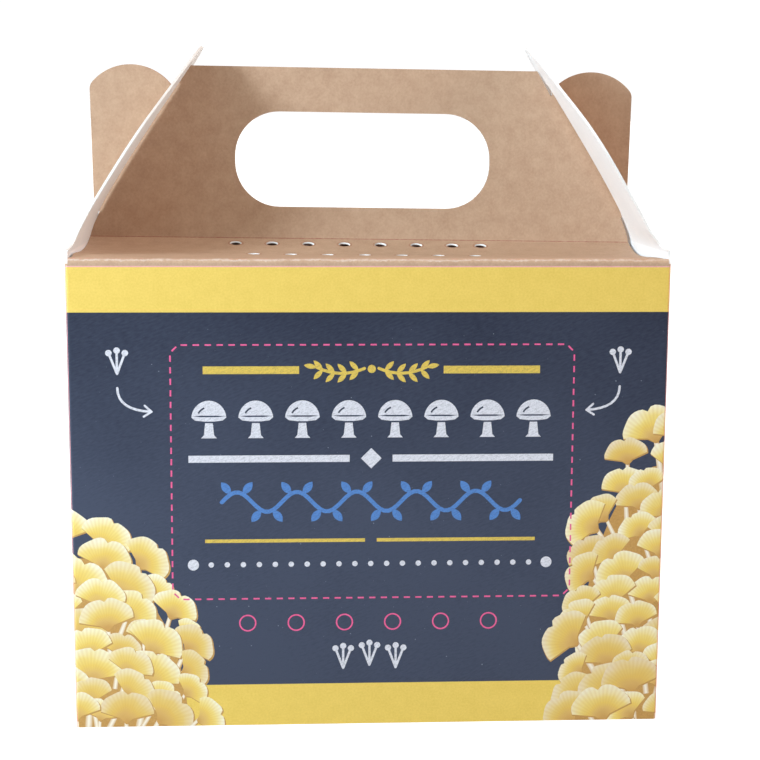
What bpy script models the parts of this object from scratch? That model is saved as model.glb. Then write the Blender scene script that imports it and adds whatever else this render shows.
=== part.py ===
"""Carry carton of an oyster mushroom grow kit, folded from one sheet of board.

Four walls, a lock bottom and two roof panels that turn up into a double carry handle.
A side flap stands on each side wall and hooks over the handle's ear through its slit.
Metres, +Z up. X is the width, the front faces -Y, and the origin is under the middle.
"""

import math

import bmesh
import bpy
import numpy as np
from mathutils import Vector

# Driving dimensions of the carton.
WIDTH = 0.200
DEPTH = 0.125
FOLD_HEIGHT = 0.160
BOARD = 0.0008
GAP = 0.0003

# Roof: it sags a little behind the front fold, is lowest some way before the handle, and turns
# up from there to the handle's foot.
ROOF_RISE = 0.0023
ROOF_SAG = 0.0017
ROOF_LOWEST = 0.0225
ROOF_HALF_WIDTH = 0.0982
ROOF_BEND_ROWS = 10

# Vent holes in the roof, two staggered rows measured from the handle. The last hole of the
# first row sits a little closer to its neighbour.
VENT_RADIUS = 0.0020
VENT_PITCH = 0.01305
VENT_ROWS = ((0.0052, 8), (0.0225, 7))
VENT_LAST_SHIFT = -0.0027
VENT_SIDES = 12

# Handle panel: heights are above the front fold.
HANDLE_TOP = 0.0635
HANDLE_TOP_HALF = 0.0631
HANDLE_FOOT_HALF = 0.0980
HAND_HOLE_HALF_LENGTH = 0.0461
HAND_HOLE_HALF_HEIGHT = 0.0174
HAND_HOLE_CORNER = 0.0160
HAND_HOLE_MIDDLE = 0.0312
NECK_HALF = 0.0949
NECK_HEIGHT = 0.0110
EAR_EDGE = 0.0978
EAR_FOOT = (0.0969, 0.0145)
EAR_DOME_MIDDLE = (0.0830, 0.04545)
EAR_DOME_RADIUS = 0.0183
EAR_DOME_INNER_ANGLE = 143.0
EAR_CORNER_RADIUS = 0.0040
NOTCH_HALF = 0.0683
NOTCH_HEIGHT = 0.0552
NOTCH_WIDTH = 0.0008

# Side flap: lengths run up the flap from its crease.
CREASE_LIFT = 0.0020
CREASE_RELIEF = 0.0006
FLAP_START = 0.0001
FLAP_BASE_HALF = 0.0610
FLAP_BASE_CORNER = 0.0050
FLAP_HALF = 0.0505
FLAP_SHOULDER = 0.0330
FLAP_SHOULDER_RADIUS = 0.0260
FLAP_TAPER_ANGLE = 50.0
FLAP_TIP_RADIUS = 0.0235
FLAP_LEAN_AT_CREASE = 12.0
FLAP_BEND_LENGTH = 0.01195
FLAP_TIP_REACH = (0.0404, 0.0690)
SLIT_START = 0.0101
SLIT_END = 0.0659
SLIT_HALF_WIDTH = 0.0016

# Lock bottom and glue tab.
BOTTOM_TAPER = 0.010
SIDE_BOTTOM_REACH = 0.049
SIDE_BOTTOM_END_HALF = 0.040
TONGUE_HALF = 0.045
TONGUE_REACH = 0.022
TONGUE_RAMP = (-0.002, 0.004)
RECESS_HALF = 0.047
RECESS_EDGE = 0.005
LEG_REACH = -0.012
GLUE_TAB_WIDTH = 0.015
GLUE_TAB_FOOT = 0.006
GLUE_TAB_TAPER = 0.006

HALF_WIDTH = WIDTH / 2
HALF_DEPTH = DEPTH / 2
LAYER = BOARD + GAP
CREASE_HEIGHT = FOLD_HEIGHT + CREASE_LIFT

KRAFT = (0.50, 0.31, 0.19)
PRINTED = (0.035, 0.048, 0.090)
LINED = (0.78, 0.73, 0.69)


def board_material(name, colour, roughness):
    """A matt board finish."""
    material = bpy.data.materials.new(name)
    material.use_nodes = True
    shader = material.node_tree.nodes["Principled BSDF"]
    shader.inputs["Base Color"].default_value = (*colour, 1.0)
    shader.inputs["Roughness"].default_value = roughness
    shader.inputs["Metallic"].default_value = 0.0
    return material


def arc(middle, radius, start, end, steps):
    """Points on a circle from one angle to another, in degrees."""
    angles = [math.radians(start + (end - start) * i / steps) for i in range(steps + 1)]
    return [(middle[0] + radius * math.cos(a), middle[1] + radius * math.sin(a)) for a in angles]


def mirrored(points):
    """A right half closed with its mirror image on the left."""
    return points + [(-x, y) for x, y in reversed(points) if x > 0.0]


def panel(name, outline, material, holes=(), rows=(), bend=None):
    """One board panel: its outer face follows the outline, and the board lies behind it.

    The outline runs in the panel's own XY plane. Rows are heights where the panel is cut
    across, so that bend, a function from (x, y) to a point, can curve it there.
    """
    surface = bmesh.new()
    edges = []
    for loop in (outline, *holes):
        corners = [surface.verts.new((x, y, 0.0)) for x, y in loop]
        edges += [surface.edges.new((corners[i - 1], corners[i])) for i in range(len(corners))]
    bmesh.ops.triangle_fill(surface, use_beauty=True, edges=edges, normal=(0.0, 0.0, 1.0))
    for row in rows:
        everything = surface.verts[:] + surface.edges[:] + surface.faces[:]
        bmesh.ops.bisect_plane(
            surface, geom=everything, dist=1e-7, plane_co=(0.0, row, 0.0), plane_no=(0.0, 1.0, 0.0)
        )
    for face in surface.faces:
        face.normal_update()
        if face.normal.z < 0.0:
            face.normal_flip()
    if bend:
        for vertex in surface.verts:
            vertex.co = bend(vertex.co.x, vertex.co.y)
    mesh = bpy.data.meshes.new(name)
    surface.to_mesh(mesh)
    surface.free()
    mesh.materials.append(material)
    item = bpy.data.objects.new(name, mesh)
    bpy.context.scene.collection.objects.link(item)
    thickness = item.modifiers.new("board", "SOLIDIFY")
    thickness.thickness = BOARD
    thickness.offset = -1.0
    thickness.use_even_offset = True
    return item


def place(item, location, turn=(0.0, 0.0, 0.0)):
    """Put a piece at its place; the turn is in degrees about X, then Z."""
    item.location = location
    item.rotation_euler = [math.radians(angle) for angle in turn]
    return item


def rectangle(left, bottom, right, top):
    """Corners of an upright rectangle."""
    return [(left, bottom), (right, bottom), (right, top), (left, top)]


def rounded_slot(half_length, half_height, corner, middle):
    """A long hole with round corners, centred on X at the height middle."""
    across = half_length - corner
    up = half_height - corner
    points = []
    for x, y, start in ((across, up, 0), (-across, up, 90), (-across, -up, 180), (across, -up, 270)):
        points += arc((x, middle + y), corner, start, start + 90, 7)
    return points


def build_walls(material):
    """Front and back run the full width, and the side walls stand between them."""
    wall_top = FOLD_HEIGHT - LAYER
    front = panel("front_wall", rectangle(-HALF_WIDTH, 0.0, HALF_WIDTH, wall_top), material)
    place(front, (0.0, -HALF_DEPTH, 0.0), (90, 0, 0))
    back = panel("back_wall", rectangle(-HALF_WIDTH, 0.0, HALF_WIDTH, wall_top), material)
    place(back, (0.0, HALF_DEPTH, 0.0), (90, 0, 180))

    side_half = HALF_DEPTH - LAYER
    side_outline = rectangle(-side_half, 0.0, side_half, CREASE_HEIGHT - CREASE_RELIEF)
    left = panel("left_wall", side_outline, material)
    place(left, (-HALF_WIDTH, 0.0, 0.0), (90, 0, -90))
    right = panel("right_wall", side_outline, material)
    place(right, (HALF_WIDTH, 0.0, 0.0), (90, 0, 90))


def build_glue_tab(material):
    """The strip that closes the tube of walls, glued inside the back wall."""
    top = FOLD_HEIGHT - GLUE_TAB_FOOT
    outline = [
        (0.0, GLUE_TAB_FOOT),
        (GLUE_TAB_WIDTH, GLUE_TAB_FOOT + GLUE_TAB_TAPER),
        (GLUE_TAB_WIDTH, top - GLUE_TAB_TAPER),
        (0.0, top),
    ]
    tab = panel("glue_tab", [(-x, y) for x, y in outline], material)
    place(tab, (-HALF_WIDTH + LAYER, HALF_DEPTH - LAYER, 0.0), (90, 0, 180))


def build_bottom(material):
    """A lock bottom: front flap outside, side flaps, then the back flap, and the tongue over it."""
    inner_half = HALF_WIDTH - LAYER
    inner_depth = HALF_DEPTH - LAYER
    ramp_start, ramp_end = TONGUE_RAMP

    def lift_tongue(x, y):
        share = min(max((y - ramp_start) / (ramp_end - ramp_start), 0.0), 1.0)
        return Vector((x, y, BOARD + 3 * LAYER * share))

    front_side = [
        (inner_half, -inner_depth),
        (inner_half - BOTTOM_TAPER, ramp_start),
        (TONGUE_HALF, ramp_start),
        (TONGUE_HALF, TONGUE_REACH - BOTTOM_TAPER / 2),
        (TONGUE_HALF - BOTTOM_TAPER / 2, TONGUE_REACH),
    ]
    panel("bottom_front_flap", mirrored(front_side), material, rows=TONGUE_RAMP, bend=lift_tongue)

    side_outline = mirrored([(inner_depth - BOARD, 0.0), (SIDE_BOTTOM_END_HALF, SIDE_BOTTOM_REACH)])
    left = panel("bottom_left_flap", side_outline, material)
    place(left, (-inner_half, 0.0, BOARD + LAYER), (0, 0, -90))
    right = panel("bottom_right_flap", side_outline, material)
    place(right, (inner_half, 0.0, BOARD + LAYER), (0, 0, 90))

    back_side = [
        (RECESS_HALF, RECESS_EDGE),
        (RECESS_HALF, LEG_REACH),
        (inner_half - BOTTOM_TAPER, LEG_REACH),
        (inner_half, inner_depth),
    ]
    back = panel("bottom_back_flap", mirrored(back_side), material)
    place(back, (0.0, 0.0, BOARD + 2 * LAYER))


def roof_height(depth, length):
    """Height of the roof's outer face over the front fold, at a depth behind it."""
    front_part = length - ROOF_LOWEST
    if depth <= front_part:
        return -ROOF_SAG * (1.0 - math.cos(math.pi * depth / front_part)) / 2
    return (ROOF_RISE + ROOF_SAG) * ((depth - front_part) / ROOF_LOWEST) ** 2 - ROOF_SAG


def build_roofs(material):
    """Two curved roof panels with vent holes, alike in front and behind."""
    length = HALF_DEPTH - 2.0 * GAP

    def curve(x, y):
        return Vector((x, y, roof_height(y, length)))

    right_side = [
        (HALF_WIDTH, 0.0),
        (HALF_WIDTH, BOARD * 0.75),
        (ROOF_HALF_WIDTH, BOARD * 2),
        (ROOF_HALF_WIDTH, length),
    ]
    rows = [length * (i / ROOF_BEND_ROWS) ** 0.65 for i in range(1, ROOF_BEND_ROWS)]
    for name, side, turn in (("front_roof", -1, 0), ("back_roof", 1, 180)):
        vents = []
        for distance, count in VENT_ROWS:
            for i in range(count):
                x = VENT_PITCH * (i - (count - 1) / 2)
                if i == VENT_ROWS[0][1] - 1:
                    x += VENT_LAST_SHIFT
                vents.append(arc((x, length - distance), VENT_RADIUS, 0, 360, VENT_SIDES)[:-1])
        roof = panel(name, mirrored(right_side), material, holes=vents, rows=rows, bend=curve)
        place(roof, (0.0, side * HALF_DEPTH, FOLD_HEIGHT), (0, 0, turn))


def ear_outline():
    """From the notch over the ear's dome and down its outer edge to the foot of the panel."""
    corner_x = EAR_EDGE - EAR_CORNER_RADIUS
    from_middle = EAR_DOME_RADIUS - EAR_CORNER_RADIUS
    across = corner_x - EAR_DOME_MIDDLE[0]
    corner_y = EAR_DOME_MIDDLE[1] + math.sqrt(from_middle**2 - across**2)
    turn = math.degrees(math.atan2(corner_y - EAR_DOME_MIDDLE[1], across))
    points = arc(EAR_DOME_MIDDLE, EAR_DOME_RADIUS, EAR_DOME_INNER_ANGLE, turn, 12)
    points += arc((corner_x, corner_y), EAR_CORNER_RADIUS, turn, 0, 6)[1:]
    return points + [EAR_FOOT, (NECK_HALF, NECK_HEIGHT)]


def build_handles(material):
    """Two equal handle panels back to back, each with a hand hole and two ears."""
    foot = ROOF_RISE + GAP
    right_side = [
        (HANDLE_TOP_HALF, HANDLE_TOP),
        (NOTCH_HALF - NOTCH_WIDTH / 2, NOTCH_HEIGHT),
        (NOTCH_HALF + NOTCH_WIDTH / 2, NOTCH_HEIGHT),
        *ear_outline(),
        (HANDLE_FOOT_HALF - 0.0006, foot + 0.0027),
        (HANDLE_FOOT_HALF, foot),
    ]
    hand_hole = rounded_slot(
        HAND_HOLE_HALF_LENGTH, HAND_HOLE_HALF_HEIGHT, HAND_HOLE_CORNER, HAND_HOLE_MIDDLE
    )
    for name, side, turn in (("front_handle", -1, 0), ("back_handle", 1, 180)):
        handle = panel(name, mirrored(right_side), material, holes=[hand_hole])
        place(handle, (0.0, side * (GAP / 2 + BOARD), FOLD_HEIGHT), (90, 0, turn))


def flap_curve():
    """The bent flap seen from the front: lengths along it, and how far in and up each one is."""
    lean = math.radians(FLAP_LEAN_AT_CREASE)
    bend_in = FLAP_BEND_LENGTH * math.sin(lean)
    bend_up = FLAP_BEND_LENGTH * math.cos(lean)
    share = np.linspace(0.0, 1.05, 211)
    inwards = 2 * share * (1 - share) * bend_in + share**2 * FLAP_TIP_REACH[0]
    upwards = 2 * share * (1 - share) * bend_up + share**2 * FLAP_TIP_REACH[1]
    steps = np.hypot(np.diff(inwards), np.diff(upwards))
    return np.concatenate([[0.0], np.cumsum(steps)]), inwards, upwards


def flap_outline():
    """The flap laid flat: wide at its crease, straight sides, then a taper to a round tip."""
    shoulder_middle = (FLAP_HALF - FLAP_SHOULDER_RADIUS, FLAP_SHOULDER)
    base = [(FLAP_BASE_HALF, FLAP_START)]
    for i in range(7):
        angle = math.radians(15 * i)
        x = FLAP_BASE_HALF - (FLAP_BASE_HALF - FLAP_HALF) * math.sin(angle)
        base.append((x, FLAP_START + BOARD + FLAP_BASE_CORNER * (1 - math.cos(angle))))
    shoulder = arc(shoulder_middle, FLAP_SHOULDER_RADIUS, 0, FLAP_TAPER_ANGLE, 8)
    taper = math.radians(FLAP_TAPER_ANGLE)
    normal = (math.cos(taper), math.sin(taper))
    reach = normal[0] * shoulder[-1][0] + normal[1] * shoulder[-1][1]
    tip_middle = (0.0, (reach - FLAP_TIP_RADIUS) / normal[1])
    tip = arc(tip_middle, FLAP_TIP_RADIUS, FLAP_TAPER_ANGLE, 90, 6)
    return mirrored(base + shoulder + tip[:-1] + [(0.0, tip[-1][1])])


def build_side_flaps(material):
    """A slit flap on each side wall's crease, leaning in over the handle's ear."""
    along, inwards, upwards = flap_curve()

    def bend(x, y):
        across = float(np.interp(y, along, inwards))
        up = float(np.interp(y, along, upwards))
        ahead = float(np.interp(y + 1e-4, along, inwards)) - across
        rise = float(np.interp(y + 1e-4, along, upwards)) - up
        outwards = Vector((-rise, 0.0, ahead)).normalized() * BOARD / 2
        return Vector((across, -x, up)) + outwards

    slit = rectangle(-SLIT_HALF_WIDTH, SLIT_START, SLIT_HALF_WIDTH, SLIT_END)
    rows = [0.003, 0.006, 0.009, 0.013, 0.018, 0.025, 0.034, 0.045, 0.057, 0.070]
    for name, side, turn in (("left_side_flap", -1, 0), ("right_side_flap", 1, 180)):
        crease = bpy.data.objects.new(name + "_crease", None)
        bpy.context.scene.collection.objects.link(crease)
        place(crease, (side * (HALF_WIDTH - BOARD / 2), 0.0, CREASE_HEIGHT), (0, 0, turn))
        flap = panel(name, flap_outline(), material, holes=[slit], rows=rows, bend=bend)
        flap.parent = crease


def main():
    for item in list(bpy.data.objects):
        bpy.data.objects.remove(item, do_unlink=True)
    printed = board_material("printed_board", PRINTED, 0.55)
    kraft = board_material("kraft_board", KRAFT, 0.80)
    lined = board_material("white_lined_board", LINED, 0.70)
    build_walls(printed)
    build_glue_tab(kraft)
    build_bottom(kraft)
    build_roofs(kraft)
    build_handles(kraft)
    build_side_flaps(lined)


main()
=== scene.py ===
# %% [markdown]
# # A folded carry carton for a mushroom grow kit
# The carton is one sheet of board, kraft brown outside and white inside, printed flat, cut, creased and
# folded. This lesson makes it in the same order as the factory does: print, cut, fold.
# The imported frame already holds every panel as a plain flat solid. Those solids say where each panel is,
# so they are loaded first, and everything here is built on them.

import math
import random

import bmesh
import bpy
from mathutils import Matrix, Vector
from mathutils.geometry import delaunay_2d_cdt


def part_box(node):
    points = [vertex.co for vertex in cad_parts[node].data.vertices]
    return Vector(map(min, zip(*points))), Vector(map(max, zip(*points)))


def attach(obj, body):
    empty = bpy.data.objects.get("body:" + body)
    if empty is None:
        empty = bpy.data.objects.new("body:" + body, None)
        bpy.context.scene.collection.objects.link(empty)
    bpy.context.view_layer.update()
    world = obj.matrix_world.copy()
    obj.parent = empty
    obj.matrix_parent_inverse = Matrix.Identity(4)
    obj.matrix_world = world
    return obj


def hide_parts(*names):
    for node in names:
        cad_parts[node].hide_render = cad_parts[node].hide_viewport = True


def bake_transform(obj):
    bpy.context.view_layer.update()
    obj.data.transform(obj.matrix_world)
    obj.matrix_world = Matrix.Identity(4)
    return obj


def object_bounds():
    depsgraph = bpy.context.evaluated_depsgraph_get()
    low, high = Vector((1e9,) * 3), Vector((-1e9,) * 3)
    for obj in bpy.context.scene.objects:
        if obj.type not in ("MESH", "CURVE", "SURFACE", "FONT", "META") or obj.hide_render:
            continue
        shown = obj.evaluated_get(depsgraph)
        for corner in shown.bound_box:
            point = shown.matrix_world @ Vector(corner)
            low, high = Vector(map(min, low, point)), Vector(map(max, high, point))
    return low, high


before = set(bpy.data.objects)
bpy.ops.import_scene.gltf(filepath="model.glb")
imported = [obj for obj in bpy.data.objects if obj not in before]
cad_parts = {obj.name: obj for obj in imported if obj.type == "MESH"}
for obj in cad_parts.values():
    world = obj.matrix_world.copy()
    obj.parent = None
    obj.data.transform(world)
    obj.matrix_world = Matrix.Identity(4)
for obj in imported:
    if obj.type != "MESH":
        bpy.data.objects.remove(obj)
cad_low, cad_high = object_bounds()
print("size in mm", [round(1000 * side, 1) for side in cad_high - cad_low])

# %% [markdown]
# ## Measures
# A scene that sits on a frame should read its sizes from the frame, so that a change there moves
# everything here. Only what the solids can't tell, such as the heights of the printed bands, is written
# down as a number. These lengths are in metres. The flat sheets further on are drawn in millimetres.

# %% Measures read from the solids
front_low, front_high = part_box("front_wall")
handle_low, handle_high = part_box("front_handle")

MILLIMETRE = 0.001
HALF_WIDTH, HALF_DEPTH = cad_high.x, cad_high.y
BOARD = front_high.y - front_low.y
FOLD = front_high.z + BOARD + 0.0003
SIDE_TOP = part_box("left_wall")[1].z
CREASE = SIDE_TOP + 0.0006
print("board", round(1000 * BOARD, 2), "mm, fold at", round(1000 * FOLD, 2), "mm")

# %% [markdown]
# ## The camera
# The photograph looks almost straight at the front, a little from the left and from above, with a long
# lens. A camera could be aimed by hand, but here its place was worked out from the carton's own corners,
# so its direction is given as angles: a turn to the right, a tilt down and a small roll.

# %% Camera
CAMERA_PLACE = Vector((-0.03596, -0.67963, 0.21003))
CAMERA_TURN, CAMERA_TILT, CAMERA_ROLL = (math.radians(angle) for angle in (3.621, -8.334, 0.33))
PICTURE_SIDE, FOCAL_PIXELS = 760, 1864

bpy.ops.object.camera_add(location=CAMERA_PLACE)
camera = bpy.context.object
camera.name = "camera"
camera.data.sensor_width = 36.0
camera.data.lens = FOCAL_PIXELS / PICTURE_SIDE * camera.data.sensor_width
camera.data.clip_start = 0.01
forward = Vector((math.sin(CAMERA_TURN), math.cos(CAMERA_TURN), math.tan(CAMERA_TILT))).normalized()
aim = forward.to_track_quat("-Z", "Y").to_matrix()
camera.rotation_euler = (aim @ Matrix.Rotation(CAMERA_ROLL, 3, "Z")).to_euler()
bpy.context.scene.camera = camera
print("lens", round(camera.data.lens, 1), "mm")

# %% [markdown]
# ## Selecting
# Blender's operators act on whatever is selected. Each helper here starts from nothing selected, and
# picks points in code by where they are, just as a person would box-select them.

# %% Selecting
def take(item, mode="OBJECT"):
    """Make one object the only selected and active one, in the mode that is wanted."""
    if bpy.context.object and bpy.context.object.mode != "OBJECT":
        bpy.ops.object.mode_set(mode="OBJECT")
    bpy.ops.object.select_all(action="DESELECT")
    item.select_set(True)
    bpy.context.view_layer.objects.active = item
    bpy.ops.object.mode_set(mode=mode)


def pick_points(item, chosen):
    """In edit mode, select only the points whose numbers are in the set."""
    shape = bmesh.from_edit_mesh(item.data)
    for point in shape.verts:
        point.select_set(point.index in chosen)
    shape.select_flush_mode()
    bmesh.update_edit_mesh(item.data)


# %% [markdown]
# ## A net of shader nodes
# Every finish here is a small net of nodes. A class with short names for the few kinds that come back
# again and again keeps the nets readable. The shader itself stays in the material.

# %% Shader helpers
class Net:
    """The node tree of a material or a group."""

    def __init__(self, tree):
        self.tree = tree
        self.shader = tree.nodes.get("Principled BSDF")

    def add(self, kind, inputs=None, **settings):
        """Add a node; each input is a value or another node's output. Gives back its outputs."""
        made = self.tree.nodes.new(kind)
        for key, value in settings.items():
            setattr(made, key, value)
        for key, value in (inputs or {}).items():
            if isinstance(value, bpy.types.NodeSocket):
                self.tree.links.new(value, made.inputs[key])
            else:
                made.inputs[key].default_value = value
        return made.outputs

    def maths(self, operation, first, second=0.0):
        """One Math node."""
        return self.add("ShaderNodeMath", {0: first, 1: second}, operation=operation)[0]

    def times(self, value, *others):
        """The product of two or more values."""
        for other in others:
            value = self.maths("MULTIPLY", value, other)
        return value

    def plus(self, first, second):
        """The sum of two values."""
        return self.maths("ADD", first, second)

    def minus(self, first, second):
        """The first value less the second."""
        return self.maths("SUBTRACT", first, second)

    def reach(self, across, along):
        """The length of a flat vector."""
        squares = [self.maths("POWER", part, 2.0) for part in (across, along)]
        return self.maths("SQRT", self.plus(*squares))

    def remap(self, value, low, high, first=0.0, last=1.0):
        """Stretch the range from low to high to another range, and hold the ends."""
        return self.add("ShaderNodeMapRange", {0: value, 1: low, 2: high, 3: first, 4: last})[0]

    def line(self, distance, middle, half_width):
        """1 on a thin line where the distance equals the middle, and 0 away from it."""
        off = self.maths("ABSOLUTE", self.minus(distance, middle))
        return self.remap(off, half_width, half_width * 0.4)

    def blend(self, share, first, second):
        """Mix two colours by a share."""
        return self.add("ShaderNodeMix", {0: share, 6: first, 7: second}, data_type="RGBA")[2]

    def noise(self, point, scale, detail=2.0):
        """Soft noise, with about this many blobs a metre."""
        return self.add("ShaderNodeTexNoise", {"Vector": point, "Scale": scale, "Detail": detail})["Fac"]

    def brushed(self, point, slant, stretch):
        """The point, turned and stretched along slanted brush strokes."""
        inputs = {"Vector": point, "Rotation": (0.0, 0.0, slant), "Scale": stretch}
        return self.add("ShaderNodeMapping", inputs, vector_type="TEXTURE")[0]

    def split(self, vector):
        """The three parts of a vector."""
        return self.add("ShaderNodeSeparateXYZ", {0: vector})

    def board_point(self):
        """The place on the carton in metres, which does not slide when a panel turns."""
        return self.add("ShaderNodeTexCoord")["Object"]

    def map_point(self, name):
        """The place in one of the sheet's own UV maps."""
        return self.add("ShaderNodeUVMap", uv_map=name)[0]

    def attribute(self, name):
        """A number kept in the mesh."""
        return self.add("ShaderNodeAttribute", attribute_name=name)["Fac"]

    def paint(self, shade):
        """Wire a colour to the shader."""
        self.tree.links.new(shade, self.shader.inputs["Base Color"])


def new_material(name, roughness, specular=0.3):
    """A material and its net, with constants set on the shader's own sockets."""
    material = bpy.data.materials.new(name)
    material.use_nodes = True
    net = Net(material.node_tree)
    net.shader.inputs["Roughness"].default_value = roughness
    net.shader.inputs["Specular IOR Level"].default_value = specular
    return material, net


def colour(*picked):
    """A colour given as 0 to 255, turned into the linear values that a shader takes."""
    shares = [value / 255 for value in picked]
    return (*[s / 12.92 if s <= 0.04045 else ((s + 0.055) / 1.055) ** 2.4 for s in shares], 1.0)


# %% [markdown]
# ## Two effects that every board shares
# Board is felted fibre. Seen close, it has fine short specks and soft clouds a few millimetres wide.
# Ink and chalk lie on the same fibres, so the fibre effect is one node group with named sockets, placed
# in each material with its own strength. The second group is the chalky grain: dust that misses the
# low places and fine strokes that run on a slant.

# %% Fibre and chalk groups
def new_group(name, values, results):
    """A node group with a Point and named values: its net, its inputs and its outputs."""
    group = bpy.data.node_groups.new(name, "ShaderNodeTree")
    group.interface.new_socket("Point", in_out="INPUT", socket_type="NodeSocketVector")
    for label in values:
        group.interface.new_socket(label, in_out="INPUT", socket_type="NodeSocketFloat")
    for label in results:
        group.interface.new_socket(label, in_out="OUTPUT", socket_type="NodeSocketFloat")
    net = Net(group)
    return net, net.add("NodeGroupInput"), group.nodes.new("NodeGroupOutput").inputs


def make_fibre_group():
    """Outputs: Tone, a value round 0.5 for the colour, and Height, for the bump."""
    net, given, wanted = new_group("board_fibres", ["Cloud Share"], ["Tone", "Height"])
    upright = net.add("ShaderNodeMapping", {"Vector": given["Point"], "Scale": (1.0, 1.0, 0.9)})[0]
    specks = net.noise(upright, 1500.0, 3.0)
    clouds = net.noise(given["Point"], 210.0, 4.0)
    tone = net.add("ShaderNodeMix", {0: given["Cloud Share"], 2: specks, 3: clouds})[0]
    net.tree.links.new(tone, wanted["Tone"])
    net.tree.links.new(specks, wanted["Height"])
    return net.tree


def make_chalk_group():
    """Output: Cover, which is 1 where chalk or ink lies thick and lower where it is worn."""
    net, given, wanted = new_group("chalk_grain", [], ["Cover"])
    strokes = net.noise(net.brushed(given["Point"], 0.5, (2.4, 0.8, 1.0)), 1500.0)
    dust = net.noise(given["Point"], 2400.0)
    net.tree.links.new(net.remap(net.plus(strokes, dust), 0.72, 1.12), wanted["Cover"])
    return net.tree


fibre_group = make_fibre_group()
chalk_group = make_chalk_group()


def add_fibres(net, point, clouds=0.5, bump=0.15):
    """Place the fibre group, wire its height to the shader's normal and give back its tone."""
    fibres = net.add("ShaderNodeGroup", {"Point": point, "Cloud Share": clouds}, node_tree=fibre_group)
    inputs = {"Strength": bump, "Distance": 0.0002, "Height": fibres["Height"]}
    rise = net.add("ShaderNodeBump", inputs)[0]
    net.tree.links.new(rise, net.shader.inputs["Normal"])
    return fibres["Tone"]


print("groups with", len(fibre_group.nodes), "and", len(chalk_group.nodes), "nodes")

# %% [markdown]
# ## The board's three finishes
# Kraft outside, a white clay-coated liner inside, and the raw cut edge, which is white too and a little
# rough. A cut edge has its own material because on the real board it is the brightest line of all.

# %% Kraft, lining and cut edge
def kraft_colour(net, tone):
    """Kraft's colour from the fibre tone."""
    return net.blend(net.remap(tone, 0.30, 0.72), colour(182, 149, 124), colour(203, 172, 146))


def two_tones(net, tone, dark, light):
    """Two near colours that follow the fibre tone."""
    return net.blend(net.remap(tone, 0.3, 0.7), colour(*dark), colour(*light))


def make_plain_board(name, dark, light, roughness=0.6, bump=0.03):
    """White lining, a tinted copy of it, or a dark brown board that is painted deep shade."""
    material, net = new_material(name, roughness)
    net.paint(two_tones(net, add_fibres(net, net.board_point(), 0.6, bump), dark, light))
    return material


def make_cut_edge():
    """The raw edge, white; an attribute turns it dark brown, as painted shade on the deep part of a vent's
    wall.
    """
    material, net = new_material("cut_edge", 0.85)
    tone = add_fibres(net, net.board_point(), 0.6, 0.04)
    white = two_tones(net, tone, (238, 237, 236), (252, 252, 252))
    # Painted shade: where the attribute is 1 the edge turns dark brown, standing in for the shadow deep in a
    # vent.
    net.paint(net.blend(net.remap(net.attribute("shaded"), 0.60, 0.76), white, colour(96, 62, 50)))
    return material


def make_kraft():
    """Bare kraft liner."""
    material, net = new_material("kraft", 0.72)
    net.paint(kraft_colour(net, add_fibres(net, net.board_point())))
    return material


kraft = make_kraft()
# Painted shade: a dark brown board for the inside of the front and back walls and of the roofs. The real
# liner is white; this colour stands in for the deep shade inside the closed carton.
painted_shade_board = make_plain_board("painted_shade_board", (98, 64, 50), (116, 82, 64), 0.8, 0.1)
# Painted light: a cool-tinted copy of the white lining for the left flap; it offsets the warm bounce light on
# that face.
painted_cool_light_lining = make_plain_board("painted_cool_light_lining", (240, 248, 254), (247, 253, 255))
lining = make_plain_board("white_lining", (247, 248, 251), (253, 253, 254))
cut_edge = make_cut_edge()

# %% [markdown]
# ## Inks
# The print is a dark slate ground with yellow bands, chalk-like shapes, thin pink cutting marks and
# painted leaves. Each ink is a material of its own. All of them sit on the same fibres, and the chalky
# ones let the slate show through where the grain is thin.

# %% Slate, flat and chalky inks
def slate_colour(net, point):
    """Slate with fine slanted brush strokes and slow clouds, paler lower down as a painted reflection of the
    bright floor.
    """
    strokes = net.noise(net.brushed(point, 0.36, (3.2, 0.9, 1.0)), 1500.0, 3.0)
    mixed = net.plus(strokes, net.times(net.noise(point, 22.0), 0.8))
    # Painted reflection: the print grows paler towards its foot, standing in for the floor's sheen on the
    # slate.
    painted_floor_reflection = net.remap(net.split(point)[1], 0.142, 0.070, 0.02, 0.72)
    share = net.plus(net.times(net.remap(mixed, 0.62, 1.18), 0.5), painted_floor_reflection)
    return net.blend(share, colour(31, 38, 59), colour(64, 72, 93))


def make_slate():
    """The dark ground, with a few pale specks of dust."""
    material, net = new_material("slate_ink", 0.55, 0.35)
    point = net.map_point("Sheet")
    add_fibres(net, point)
    specks = net.times(net.remap(net.noise(point, 1300.0, 0.0), 0.86, 0.90), 0.7)
    net.paint(net.blend(specks, slate_colour(net, point), colour(150, 160, 175)))
    return material


def make_flat_ink(name, dark, light):
    """A printed ink: almost even, with the fibres' grain in it."""
    material, net = new_material(name, 0.5, 0.35)
    net.paint(two_tones(net, add_fibres(net, net.map_point("Sheet"), 0.35), dark, light))
    return material


def make_chalk(name, *thick):
    """Chalk on the slate: the grain group says where the slate shows through."""
    material, net = new_material(name, 0.7, 0.2)
    point = net.map_point("Sheet")
    add_fibres(net, point)
    grain = net.add("ShaderNodeGroup", {"Point": point}, node_tree=chalk_group)
    cover = net.remap(grain["Cover"], 0.0, 1.0, 0.68, 1.0)
    net.paint(net.blend(cover, slate_colour(net, point), colour(*thick)))
    return material


# %% [markdown]
# ### Painted leaves
# The two corners carry clumps of pale yellow fan leaves. A leaf is drawn as a flat outline, and its
# shading is worked out by the shader from a second UV map called Motif: there each leaf has its stalk at
# (0, 0) and its rim one unit away. So one material shades every leaf, whatever its size or turn.

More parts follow.
